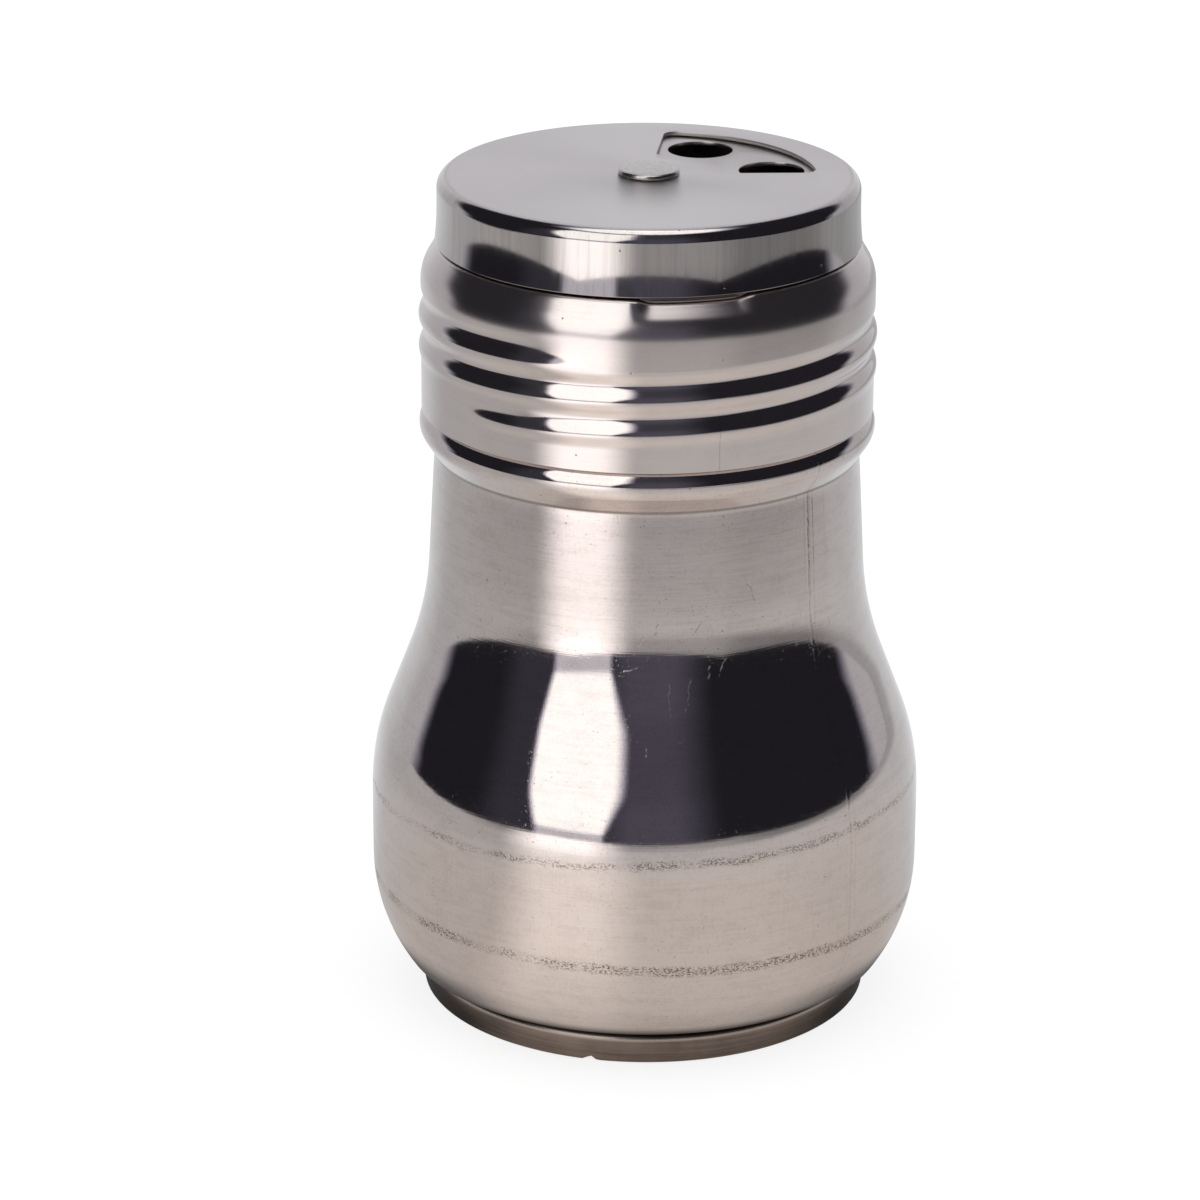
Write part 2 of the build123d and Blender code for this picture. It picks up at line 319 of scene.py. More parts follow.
def pierced_sheet(mesh, rim_top, rim_low, holes, top_z, low_z, edge_round):
    """Flat sheet inside two rims, with holes whose edges are rounded a little."""
    top_edges = edges_round(mesh, rim_top)
    low_edges = edges_round(mesh, rim_low)
    for hole in holes:
        levels = [
            (grown(hole, edge_round), top_z),
            (grown(hole, edge_round * 0.3), top_z - edge_round * 0.3),
            (hole, top_z - edge_round),
            (hole, low_z + edge_round * 0.5),
            (grown(hole, edge_round * 0.5), low_z),
        ]
        loops = [[mesh.verts.new((x * MM, y * MM, z * MM)) for x, y in loop] for loop, z in levels]
        for high, low in zip(loops, loops[1:]):
            for k in range(len(hole)):
                n = (k + 1) % len(hole)
                mesh.faces.new((high[k], high[n], low[n], low[k]))
        top_edges += edges_round(mesh, loops[0])
        low_edges += edges_round(mesh, loops[-1])
    bmesh.ops.triangle_fill(mesh, use_beauty=True, edges=top_edges, normal=(0, 0, 1))
    bmesh.ops.triangle_fill(mesh, use_beauty=True, edges=low_edges, normal=(0, 0, -1))


def made_object(name, mesh, material):
    """An object of its own from a mesh."""
    data = bpy.data.meshes.new(name)
    mesh.to_mesh(data)
    mesh.free()
    data.materials.append(material)
    made = bpy.data.objects.new(name, data)
    bpy.context.scene.collection.objects.link(made)
    return made


def made_piece(name, mesh, material, body, node, sharp=34):
    """Closes a mesh up, sets which edges stay crisp, and hands the piece to its body."""
    bmesh.ops.remove_doubles(mesh, verts=mesh.verts, dist=0.002 * MM)
    bmesh.ops.recalc_face_normals(mesh, faces=mesh.faces)
    limit = math.radians(sharp)
    for face in mesh.faces:
        face.smooth = True
    for edge in mesh.edges:
        edge.smooth = edge.calc_face_angle(0) < limit
    piece = made_object(name, mesh, material)
    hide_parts(node)
    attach(piece, body)


# ---------------------------------------------------------------- shader maths

class Value:
    """A socket of a node tree, with which sums read as plain expressions."""

    def __init__(self, tree, socket):
        self.tree = tree
        self.socket = socket

    def maths(self, operation, *others):
        sockets = dict(enumerate((self, *others)))
        return self.tree.node("ShaderNodeMath", {"operation": operation}, sockets)

    def __add__(self, other):
        return self.maths("ADD", other)

    def __sub__(self, other):
        return self.maths("SUBTRACT", other)

    def __mul__(self, other):
        return self.maths("MULTIPLY", other)

    def __truediv__(self, other):
        return self.maths("DIVIDE", other)

    def __radd__(self, other):
        return self.maths("ADD", other)

    def __rmul__(self, other):
        return self.maths("MULTIPLY", other)

    def __rsub__(self, other):
        return (self * -1) + other

    def __neg__(self):
        return self * -1

    def __abs__(self):
        return self.maths("ABSOLUTE")

    def most(self, other):
        return self.maths("MAXIMUM", other)

    def least(self, other):
        return self.maths("MINIMUM", other)

    def between(self, low, high):
        """0 below low, 1 above high, with a soft step between them."""
        sockets = dict(enumerate((self, low, high, 0.0, 1.0)))
        return self.tree.node("ShaderNodeMapRange", {"interpolation_type": "SMOOTHSTEP"}, sockets)

    def near(self, centre, width, soft):
        """1 within width of a centre, 0 beyond width + soft."""
        return 1 - abs(self - centre).between(width, width + soft)


class Tree:
    """A material's or the world's node tree."""

    def __init__(self, tree):
        self.tree = tree
        tree.nodes.clear()

    def node(self, kind, settings, sockets, output=0):
        """Any node: its settings first, then its sockets by name or number. Gives one output, or
        all of them where output is None."""
        node = self.tree.nodes.new(kind)
        for key, value in settings.items():
            setattr(node, key, value)
        for key, value in sockets.items():
            if isinstance(value, Value):
                self.tree.links.new(value.socket, node.inputs[key])
            else:
                node.inputs[key].default_value = value
        if output is None:
            return [Value(self, socket) for socket in node.outputs]
        return Value(self, node.outputs[output]) if len(node.outputs) else None

    def apart(self, vector):
        return self.node("ShaderNodeSeparateXYZ", {}, {"Vector": vector}, output=None)

    def together(self, x, y, z):
        return self.node("ShaderNodeCombineXYZ", {}, {"X": x, "Y": y, "Z": z})

    def blend(self, amount, first, second):
        """A colour between two colours."""
        settings = {"data_type": "RGBA", "clamp_factor": True}
        return self.node("ShaderNodeMix", settings, {0: amount, 6: first, 7: second}, output=2)

    def cloud(self, vector, scale, detail=2.0, rough=0.5, distortion=0.0):
        """Soft noise, about 0.5 in the middle."""
        sockets = {
            "Vector": vector,
            "Scale": scale,
            "Detail": detail,
            "Roughness": rough,
            "Distortion": distortion,
        }
        return self.node("ShaderNodeTexNoise", {"noise_dimensions": "3D"}, sockets)


def rgb(r, g, b):
    return (r, g, b, 1.0)


black, white = rgb(0, 0, 0), rgb(1, 1, 1)
bright_steel = rgb(0.665, 0.612, 0.597)


def new_material(name):
    material = bpy.data.materials.new(name)
    material.use_nodes = True
    return material, Tree(material.node_tree)


def place_in(tree):
    """Where a point lies, in metres: across, away and height."""
    return tree.apart(tree.node("ShaderNodeTexCoord", {}, {}, output="Object"))


def place_on(tree):
    """Where a point lies, in millimetres: across, away and height."""
    return [length / MM for length in place_in(tree)]


def off_axis(x, y):
    return (x * x + y * y).maths("SQRT")


def beside_line(x, y, azimuth):
    """How far round the shaker a point lies from an upright line in this direction."""
    return (y.maths("ARCTAN2", x) - math.radians(azimuth)) * off_axis(x, y)


def turning_lines(tree, x, y, z, fineness, length):
    """Noise drawn out round the axis, like the lines a polishing wheel leaves on a turning part."""
    radius = off_axis(x, y).most(1.0)
    drawn = tree.together(x / radius * length, y / radius * length, z * fineness)
    return tree.cloud(drawn, 1.0, detail=3.0, rough=0.6)


def pinholes_in(tree, place, pit, soft, low, high):
    """1 in small pits here and there, 0 beside them."""
    cells = tree.node("ShaderNodeTexVoronoi", {"feature": "F1"}, {"Vector": place, "Scale": 0.42})
    return cells.near(0, pit, soft) * tree.cloud(place, 0.3, detail=0.0).between(low, high)


def finished(tree, surface, relief, bump_strength, bump_depth):
    """Ends a material: its surface, with this relief in millimetres."""
    bump = {"Strength": bump_strength, "Distance": bump_depth * MM, "Height": relief}
    surface["Normal"] = tree.node("ShaderNodeBump", {}, bump)
    shader = tree.node("ShaderNodeBsdfPrincipled", {}, surface)
    tree.node("ShaderNodeOutputMaterial", {}, {"Surface": shader})


def steel_surface(tree, colour, roughness, relief, bump_depth, drawn=0.0, drawn_turn=0.0):
    """Ends a steel material. Where it is drawn, reflections spread across the polishing lines."""
    surface = {
        "Base Color": colour,
        "Metallic": 1.0,
        "Roughness": roughness,
        "Anisotropic": drawn,
        "Anisotropic Rotation": drawn_turn,
    }
    finished(tree, surface, relief, 1.0, bump_depth)


def die_specks(tree, x, y, z):
    """Specks in two bands that lean a little, where the sheet slid in its die, and fine ones all
    over."""
    place = tree.together(x, y, z)
    lean = (y.maths("ARCTAN2", x) + 1.57).maths("SINE")
    wander = (tree.cloud(place, 0.30, detail=2.0) - 0.5) * 1.6
    upper_band = (z - upper_specks_z - lean * 0.9 + wander).near(0, 0.15, 0.6)
    lower_band = (z - lower_specks_z + lean * 0.8 + wander * 0.6).near(0, 0.35, 0.6)
    dots = tree.together(x * 3.6, y * 3.6, z * 5.0)
    dots = tree.cloud(dots, 1.0, detail=2.0, rough=0.7, distortion=0.3).between(0.47, 0.58)
    broken = tree.cloud(place, 0.20, detail=3.0).between(0.36, 0.56) * 0.7 + 0.3
    fine_dots = tree.together(x * 2.2, y * 2.2, z * 2.6)
    fine_dots = tree.cloud(fine_dots, 1.0, detail=3.0, rough=0.65).between(0.64, 0.72)
    dirty = tree.cloud(tree.together(x, y, z * 1.6), 0.10, detail=3.0).between(0.40, 0.66)
    in_bands = dots * (upper_band * 0.75 + lower_band * 0.95) * broken
    return in_bands + fine_dots * (dirty * 0.5 + 0.12)


def weld_marks(tree, x, y, z):
    """Thin broken lines side by side with pits, strong on the neck and faint on the belly."""
    beside = beside_line(x, y, weld_azimuth)
    pits = tree.together(beside * 4.0, 0.0, z * 1.3)
    pits = tree.cloud(pits, 1.0, detail=4.0, rough=0.75).between(0.46, 0.62)
    lines = sum(beside.near(at, width, soft) * strength for at, width, soft, strength in weld_lines)
    on_neck = z.between(58.0, 66.0) * 0.75 + z.between(36.0, 50.0) * 0.15 + 0.3
    by_bead = 1 - z.between(70.0, 72.0) * 0.6
    return lines.least(1.0) * (0.2 + pits * 0.8) * on_neck * by_bead


def hairline(beside, above, length, lean, wobble):
    """1 along a scratch, lean radians off upright, 0 beside it."""
    along = beside * math.sin(lean) + above * math.cos(lean)
    across = beside * math.cos(lean) - above * math.sin(lean) + wobble
    return across.near(0, 0.02, 0.15) * along.near(0, length * 0.35, length * 0.15)


def scratch_marks(tree, x, y, z):
    """Hairline scratches, mostly upright and a little broken."""
    place = tree.together(x, y, z)
    wobble = (tree.cloud(place, 0.9, detail=1.0) - 0.5) * 0.9
    scratches = sum(
        hairline(beside_line(x, y, azimuth), z - height, length, math.radians(lean), wobble)
        for azimuth, height, length, lean in hairline_scratches
    )
    return scratches.least(1.0) * tree.cloud(place, 1.6, detail=1.0).between(0.28, 0.52)


def container_steel():
    """Polished steel with fine lines round it, specks, its weld, scratches, and painted shade
    in its corners, over the foot and under the bead."""
    material, tree = new_material("container_steel")
    x, y, z = place_on(tree)
    lines = turning_lines(tree, x, y, z, fineness=4.2, length=3.0)
    broad_lines = turning_lines(tree, x, y, z, fineness=1.4, length=2.4)
    patches = tree.cloud(tree.together(x, y, z), 0.09, detail=3.0)
    mottle = tree.cloud(tree.together(x, y, z * 1.8), 0.30, detail=5.0, rough=0.65)
    grain = tree.cloud(tree.together(x, y, z * 1.5), 2.6, detail=2.0, rough=0.7)
    upright = tree.together(x * 5.0, y * 5.0, z * 0.22)
    upright = tree.cloud(upright, 1.0, detail=2.0, rough=0.6)
    marks = die_specks(tree, x, y, z)
    weld = weld_marks(tree, x, y, z)
    scratches = scratch_marks(tree, x, y, z)
    # Painted shade: darker over the foot ring and in the corner under the bead, where shade falls.
    over_foot = 1 - z.between(4.9, 6.4)
    under_bead = (z - (bead_low_z + 0.07)).near(0, 0.08, 0.26)
    painted_shade = over_foot + under_bead * 0.6

    # the neck and the lower half of the belly are less glossy
    neck = z.between(54.5, 61.0) * (1 - z.between(69.6, 72.4))
    lower_half = 1 - z.between(24.0, 31.0)
    roughness = 0.048 + neck * 0.145 + lower_half * 0.14
    roughness = roughness + (lines - 0.45) * 0.08 + (patches - 0.5) * 0.05
    roughness = roughness + marks * 0.2 + scratches * 0.22 + painted_shade * 0.3

    uneven = (
        (broad_lines - 0.45) * 0.55
        + (mottle - 0.45) * 1.0
        + (lines - 0.5) * 0.5
        + (grain - 0.5) * 0.8
        + (upright - 0.5) * 0.4
    )
    colour = tree.blend(marks * 0.95 + weld * 0.9, bright_steel, rgb(0.15, 0.11, 0.085))
    colour = tree.blend(uneven, colour, rgb(0.48, 0.42, 0.39))
    # painted shade over the foot and under the bead
    colour = tree.blend(painted_shade * 0.85, colour, rgb(0.06, 0.05, 0.045))
    colour = tree.blend(scratches * 0.4, colour, rgb(0.72, 0.71, 0.70))
    relief = lines * 0.09 + upright * 0.05 + marks * -0.3 + weld * -0.5 + scratches * 0.3
    steel_surface(tree, colour, roughness.most(0.05), relief, 0.02, drawn=0.6, drawn_turn=0.25)
    return material


def lid_steel():
    """Bright steel with fine lines round it, more satin on its upper wall and its plate."""
    material, tree = new_material("lid_steel")
    x, y, z = place_on(tree)
    lines = turning_lines(tree, x, y, z, fineness=4.2, length=3.0)
    patches = tree.cloud(tree.together(x, y, z * 1.6), 0.20, detail=5.0, rough=0.62)
    grain = tree.cloud(tree.together(x, y, z * 1.5), 2.6, detail=2.0, rough=0.7)
    pinholes = pinholes_in(tree, tree.together(x, y, z), 0.035, 0.03, 0.56, 0.62)
    seam = beside_line(x, y, lid_seam_azimuth).near(0, 0.03, 0.07) * (1 - z.between(81.0, 85.0))
    upper_wall = z.between(90.5, 94.0)
    plate = z.between(plate_z + 0.11, plate_z + 0.21) * (1 - off_axis(x, y).between(22.6, 23.0))
    roughness = 0.10 + upper_wall * 0.10 + (lines - 0.5) * 0.05 + (patches - 0.5) * 0.04
    roughness = roughness + plate * 0.22
    colour = tree.blend(pinholes * 0.7 + seam * 0.25, bright_steel, rgb(0.14, 0.12, 0.10))
    uneven = (patches - 0.45) * 0.7 + (lines - 0.5) * 0.4 + (grain - 0.5) * 0.4
    colour = tree.blend(uneven, colour, rgb(0.50, 0.44, 0.41))
    dull = tree.blend((grain - 0.42) * 0.6, rgb(0.61, 0.583, 0.583), rgb(0.48, 0.46, 0.45))
    colour = tree.blend(plate, colour, dull)
    relief = lines * 0.06 - pinholes * 0.5
    steel_surface(tree, colour, roughness.most(0.05), relief, 0.02, drawn=0.6, drawn_turn=0.25)
    return material


def dial_steel():
    """Satin top with fine specks, a skirt brushed up and down, and dull cut edges round the
    window."""
    material, tree = new_material("dial_steel")
    x, y, z = place_on(tree)
    place = tree.together(x, y, z)
    top = z.between(dial_z, dial_z + 0.2)
    skirt = 1 - top
    cut = skirt * (1 - off_axis(x, y).between(21.0, 21.6))
    upright = tree.together(x * 4.0, y * 4.0, z * 0.10)
    upright = tree.cloud(upright, 1.0, detail=3.0, rough=0.7)
    streaks = tree.together(x * 1.2, y * 1.2, z * 0.05)
    streaks = tree.cloud(streaks, 1.0, detail=3.0, rough=0.6)
    grain = tree.cloud(tree.together(x * 3.0, y * 5.5, z), 1.0, detail=4.0, rough=0.7)
    patches = tree.cloud(place, 0.12, detail=3.0)
    pinholes = pinholes_in(tree, place, 0.04, 0.04, 0.50, 0.60)
    roughness = 0.085 + top * 0.285 + cut * 0.45
    roughness = roughness + (streaks - 0.5) * 0.10 * skirt + (patches - 0.5) * 0.06 * top
    brushed = (streaks - 0.42) * 0.9 + (upright - 0.5) * 0.9
    colour = tree.blend(pinholes * 0.6, rgb(0.57, 0.54, 0.53), rgb(0.2, 0.17, 0.15))
    colour = tree.blend(brushed * skirt, colour, rgb(0.34, 0.31, 0.29))
    colour = tree.blend((grain - 0.42) * top * 0.6, colour, rgb(0.36, 0.33, 0.32))
    colour = tree.blend(top * 0.75, colour, rgb(0.61, 0.585, 0.587))
    colour = tree.blend(cut, colour, rgb(0.74, 0.71, 0.68))
    relief = upright * skirt * 0.08 + grain * top * 0.10 - pinholes * 0.4
    steel_surface(tree, colour, roughness, relief, 0.02, drawn=0.5)
    return material


def foot_steel():
    """Dull steel of the foot ring, brushed round and round, with a dark tone of painted shade, a
    painted highlight on its upper edge, and painted shade beside the container."""
    material, tree = new_material("foot_steel")
    x, y, z = place_on(tree)
    radius = off_axis(x, y)
    lines = turning_lines(tree, x, y, z, fineness=3.6, length=2.6)
    patches = tree.cloud(tree.together(x, y, z), 0.20, detail=4.0, rough=0.65)
    # Painted shade on the top of the ring, in the gap under the container.
    painted_shade = z.between(3.2, 3.6) * radius.between(24.0, 26.0)
    # Painted highlight along the ring's upper edge.
    painted_edge_highlight = (z - 3.2).near(0, 0.12, 0.28) * radius.between(27.6, 28.0)
    roughness = 0.19 + (lines - 0.5) * 0.2 + (patches - 0.5) * 0.14 + painted_shade * 0.3
    uneven = (lines - 0.38) * 1.2 + (patches - 0.45) * 0.8
    # Dark base tone: painted shade, for the shadow under the belly that the ring mirrors.
    colour = tree.blend(uneven, rgb(0.24, 0.20, 0.178), rgb(0.075, 0.06, 0.052))
    # painted highlight on the ring's upper edge
    colour = tree.blend(painted_edge_highlight * 0.7, colour, rgb(0.50, 0.44, 0.405))
    # painted shade on the ring's top, under the container
    colour = tree.blend(painted_shade * 0.9, colour, rgb(0.03, 0.026, 0.022))
    relief = lines * 0.25 + patches * 0.12
    steel_surface(tree, colour, roughness, relief, 0.03, drawn=0.6, drawn_turn=0.25)
    return material


def rivet_steel():
    """Pressed head with a faint ring of tool marks."""
    material, tree = new_material("rivet_steel")
    x, y, z = place_on(tree)
    grain = tree.cloud(tree.together(x, y, z), 1.4, detail=4.0, rough=0.6)
    rings = tree.cloud(tree.together(off_axis(x, y) * 3.0, 0.0, z), 1.0, detail=2.0)
    roughness = 0.24 + (grain - 0.5) * 0.2 + (rings - 0.5) * 0.1
    colour = tree.blend((grain - 0.4) * 1.2, rgb(0.50, 0.48, 0.47), rgb(0.33, 0.31, 0.29))
    steel_surface(tree, colour, roughness, grain * 0.35 + rings * 0.15, 0.03)
    return material


def washer_steel():
    """Plain stamped washers inside the lid."""
    material, tree = new_material("washer_steel")
    x, y, z = place_on(tree)
    grain = tree.cloud(tree.together(x, y, z), 0.9, detail=4.0, rough=0.65)
    colour = tree.blend(grain, rgb(0.58, 0.56, 0.54), rgb(0.42, 0.40, 0.385))
    steel_surface(tree, colour, 0.28 + (grain - 0.5) * 0.2, grain * 0.2, 0.03)
    return material


def seam_rubber():
    """Sealing compound inside the double seam."""
    material, tree = new_material("seam_compound")
    x, y, z = place_on(tree)
    lumps = tree.cloud(tree.together(x, y, z), 1.1, detail=3.0)
    surface = {
        "Base Color": tree.blend(lumps, rgb(0.74, 0.73, 0.69), rgb(0.60, 0.585, 0.54)),
        "Metallic": 0.0,
        "Roughness": 0.75 + (lumps - 0.5) * 0.1,
    }
    finished(tree, surface, lumps, 0.6, 0.05)
    return material


# ---------------------------------------------------------------- pieces

def soft_ridge(distance, half_width):
    """Height of a rolled ridge, 0 to 1, at a distance from its middle."""
    share = abs(distance) / half_width
    return 0.5 + 0.5 * math.cos(math.pi * share) if share < 1 else 0.0


def thread_lift_at(z, angle, first, last, half_width, fade, shift=0.0):
    """Height, 0 to 1, of a ridge along the thread between two places counted in turns along it.
    The shift, also in turns, moves the ridge up."""
    base = (angle - thread_start) % 360 / 360
    lift = 0.0
    for whole in range(-1, 5):
        along = base + whole
        if along < first - fade or along > last + fade:
            continue
        ends = min(1.0, (along - first + fade) / (2 * fade), (last + fade - along) / (2 * fade))
        ends = ends * ends * (3 - 2 * ends)
        middle = thread_z + thread_pitch * (along + shift)
        lift = max(lift, ends * soft_ridge(z - middle, half_width))
    return lift


def container_form(r, z, angle):
    """The thread of the neck, the slight unevenness of a hand-polished sheet, and the groove and
    bank of the weld."""
    ridge_height, uneven_height = 0.75, 0.035
    groove_depth, groove_width = 0.03, 0.22
    bank_height, bank_place, bank_width = 0.015, 0.5, 0.3
    if z > bead_top_z + 3:
        ridge = thread_lift_at(z, angle, first=0.95, last=2.45, half_width=1.15, fade=0.05)
        r += ridge_height * ridge
    turn = math.radians(angle)
    spot = Vector((math.cos(turn) * 1.3, math.sin(turn) * 1.3, z * 0.035))
    r += uneven_height * noise.noise(spot) * min(1, max(0, (z - 5) / 6))
    beside = math.radians(math.remainder(angle - weld_azimuth, 360)) * r
    if 6 < z < 95:
        strong = 1.0 if z > 60 else 0.3
        r -= groove_depth * strong * math.exp(-((beside / groove_width) ** 2))
        r += bank_height * strong * math.exp(-(((beside - bank_place) / bank_width) ** 2))
    return r, z


def foot_form(r, z, angle):
    """Slight unevenness, and a nick in the lower edge of the ring."""
    uneven_height = 0.012
    turn = math.radians(angle)
    if r > 20:
        spot = Vector((math.cos(turn) * 3, math.sin(turn) * 3, z * 0.4))
        r += uneven_height * noise.noise(spot)
        nick = max(0.0, 1 - abs(math.remainder(angle - nick_azimuth, 360)) / nick_reach)
        if r > 27.2 and z < nick_top_z:
            r -= 0.25 * nick
            z += 0.5 * nick * (1 - z / nick_top_z)
    return r, z


def lid_form(r, z, angle):
    """The thread rolled into the wall, a ridge with a valley between its turns, slight unevenness,
    and a shallow dent in the shoulder."""
    ridge_height, valley_depth, uneven_height = 0.28, 0.42, 0.02
    dent_slope, dent_inwards, dent_downwards = 0.25, 0.86, 0.51
    if r > 26 and z < 95:
        ridge = thread_lift_at(z, angle, first=0.0, last=2.06, half_width=1.45, fade=0.03)
        r += ridge_height * ridge
        valley = thread_lift_at(
            z, angle, first=1.06, last=3.035, half_width=1.45, fade=0.035, shift=-0.5
        )
        r -= valley_depth * valley
    turn = math.radians(angle)
    if z < 97:
        spot = Vector((math.cos(turn) * 1.2 + 7, math.sin(turn) * 1.2, z * 0.05))
        r += uneven_height * noise.noise(spot)
    if r > 25.6 and z > dent_low_z:
        aside = abs(math.remainder(angle - dent_azimuth, 360))
        sideways = min(1.0, max(0.0, (dent_reach - aside) / dent_edge))
        upwards = z - dent_low_z
        upwards = upwards * upwards / 1.6 if upwards < 0.8 else upwards - 0.4
        dent = dent_slope * upwards * sideways * sideways * (3 - 2 * sideways)
        r -= dent_inwards * dent
        z -= dent_downwards * dent
    return r, z


def build_container(material):
    half = body_sheet / 2
    corners = [
        (neck_r - half, rim_z - half),
        (neck_r - half, bead_top_z),
        (bead_r - half, bead_top_z - bead_rise),
        (bead_r - half, bead_top_z - bead_side_end),
        (waist_r - half, bead_low_z),
        (neck_foot_r - half, neck_foot_z),
        (belly_r - half, belly_top_z),
        (belly_r - half, belly_low_z),
        (heel_r - half, heel_z + half),
        (body_wall_r, heel_z + half - heel_slope),
        (body_wall_r, body_fold_z),
    ]
    line = bent_line(corners, body_bends, arc_step=0.2, run_step=0.5)
    line = eased(line, low_z=9.0, high_z=70.0, rounds=30)
    line = folded_back(line, body_hook_r, body_hook_end_z)
    mesh = bmesh.new()
    turned(mesh, skin_of(line, body_sheet), even_angles(360, weld_azimuth), container_form)
    made_piece("container_sheet", mesh, material, "container", "body_shell")


def build_bottom(material):
    corners = [
        (0, panel_z),
        (chuck_wall_r, panel_z),
        (chuck_wall_r, end_sheet / 2),
        (end_wall_r, end_sheet / 2),
        (end_wall_r, end_fold_z),
    ]
    line = bent_line(corners, end_bends, arc_step=0.09, run_step=1.5)
    line = folded_back(line, end_hook_r, end_hook_end_z)
    outline = skin_of(line, end_sheet, start_closed=False)
    mesh = bmesh.new()
    turned(mesh, outline, even_angles(300), foot_form, closed=False)
    made_piece("bottom_sheet", mesh, material, "container", "bottom_end")


def hole_places():
    """Middle and radius of each hole of the plate."""
    places = []
    for aside, spread, hole_r, rows in plate_zones:
        for ring_r, count in rows:
            for k in range(count):
                azimuth = pour_azimuth + aside - spread / 2 + spread * k / (count - 1)
                turn = math.radians(azimuth)
                places.append((ring_r * math.cos(turn), ring_r * math.sin(turn), hole_r))
    return places


def build_lid(material):
    half = lid_sheet / 2
    corners = [
        (lid_r - half, lid_edge_z + half),
        (lid_r - half, shoulder_z),
        (lid_r - half - shoulder_run, ledge_z),
        (crown_r, ledge_z),
        (crown_r, plate_z),
        (plate_rim_r, plate_z),
    ]
    line = bent_line(corners, lid_bends, arc_step=0.16, run_step=0.35)
    outline = skin_of(line, lid_sheet, end_closed=False)
    mesh = bmesh.new()
    rings = turned(mesh, outline, even_angles(360), lid_form, closed=False)
    first, last = rings[0], rings[-1]
    for k in range(len(first)):
        n = (k + 1) % len(first)
        mesh.faces.new((last[k], last[n], first[n], first[k]))
    inner_rims = rings[len(line) - 1], rings[len(line)]
    rim_low, rim_top = sorted(inner_rims, key=lambda ring: ring[0].co.z)
    holes = [round_hole(x, y, size, 96 if size > 3 else 40) for x, y, size in hole_places()]
    holes.append(round_hole(0, 0, rivet_hole_r, 48))
    pierced_sheet(mesh, rim_top, rim_low, holes, plate_z + half, plate_z - half, edge_round=0.07)
    # the faces between the two inner rims would stay inside the plate
    between_rims = [
        face
        for face in mesh.faces
        if all(abs(vert.co.xy.length / MM - plate_rim_r) < 1e-3 for vert in face.verts)
    ]
    bmesh.ops.delete(mesh, geom=between_rims, context="FACES_ONLY")
    made_piece("lid_sheet", mesh, material, "lid", "lid_shell")


def window_arc(ring_r, first, last, steps):
    """Points on the inner or outer arc of the window, without its ends."""
    turns = [first + (last - first) * k / steps for k in range(1, steps)]
    return [(ring_r * math.cos(turn), ring_r * math.sin(turn)) for turn in turns]


def window_corner(ring_r, side, bend, outer, leaving):
    """Fillet between a side and an arc of the window, with its ends."""
    steps = 10
    ring = ring_r - bend if outer else ring_r + bend
    swing = math.asin(bend / ring)
    middle = side + (swing if side == window_start else -swing)
    toward_side = side + (-math.pi / 2 if side == window_start else math.pi / 2)
    toward_ring = middle if outer else middle + math.pi
    first, last = (toward_side, toward_ring) if leaving else (toward_ring, toward_side)
    swept = math.remainder(last - first, math.tau)
    centre = Vector((ring * math.cos(middle), ring * math.sin(middle)))
    turns = [first + swept * k / steps for k in range(steps + 1)]
    return [tuple(centre + bend * Vector((math.cos(turn), math.sin(turn)))) for turn in turns]


def window_outline():
    """Plan of the dial's window: a sector with its corners rounded."""
    start, end = window_start, window_end
    inner_r, inner_bend = window_inner_r, window_inner_bend
    outer_r, outer_bend = window_outer_r, window_outer_bend
    outer_swing = math.asin(outer_bend / (outer_r - outer_bend))
    inner_swing = math.asin(inner_bend / (inner_r + inner_bend))
    return (
        window_corner(outer_r, start, outer_bend, outer=True, leaving=True)
        + window_arc(outer_r, start + outer_swing, end - outer_swing, 60)
        + window_corner(outer_r, end, outer_bend, outer=True, leaving=False)
        + window_corner(inner_r, end, inner_bend, outer=False, leaving=True)
        + window_arc(inner_r, end - inner_swing, start + inner_swing, 30)
        + window_corner(inner_r, start, inner_bend, outer=False, leaving=False)
    )


def build_dial(material):
    half = dial_sheet / 2
    corners = [
        (dial_rim_r, dial_z),
        (skirt_r, dial_z),
        (skirt_r, skirt_z + flare_height),
        (flare_r, skirt_z),
    ]
    line = bent_line(corners, dial_bends, arc_step=0.1, run_step=0.3)
    outline = skin_of(line, dial_sheet, start_closed=False)
    mesh = bmesh.new()
    rings = turned(mesh, outline, even_angles(360), closed=False)
    rim_low, rim_top = sorted((rings[0], rings[-1]), key=lambda ring: ring[0].co.z)
    holes = [window_outline(), round_hole(0, 0, rivet_hole_r, 48)]
    pierced_sheet(mesh, rim_top, rim_low, holes, dial_z + half, dial_z - half, edge_round=0.06)
    made_piece("dial_sheet", mesh, material, "dial", "dial_cap")


def build_rivet(material):
    outline = [(r, rivet_top_z - depth) for r, depth in rivet_head]
    outline += [(r, rivet_end_z + height) for r, height in rivet_tail]
    mesh = bmesh.new()
    turned(mesh, outline, even_angles(96), closed=False)
    made_piece("rivet", mesh, material, "rivet", "center_rivet", sharp=50)


def washer_outline(outer_r, low_z, thick, inner_edge, outer_edge, dish=0.0):
    """Outline of a washer with its edges broken. Its rim is higher than its hole by the dish."""
    rim_z_low = low_z + dish
    return [
        (rivet_hole_r, low_z + inner_edge),
        (rivet_hole_r + inner_edge, low_z),
        (outer_r - outer_edge, rim_z_low),
        (outer_r, rim_z_low + outer_edge),
        (outer_r, rim_z_low + thick - outer_edge),
        (outer_r - outer_edge, rim_z_low + thick),
        (rivet_hole_r + inner_edge, low_z + thick),
        (rivet_hole_r, low_z + thick - inner_edge),
    ]


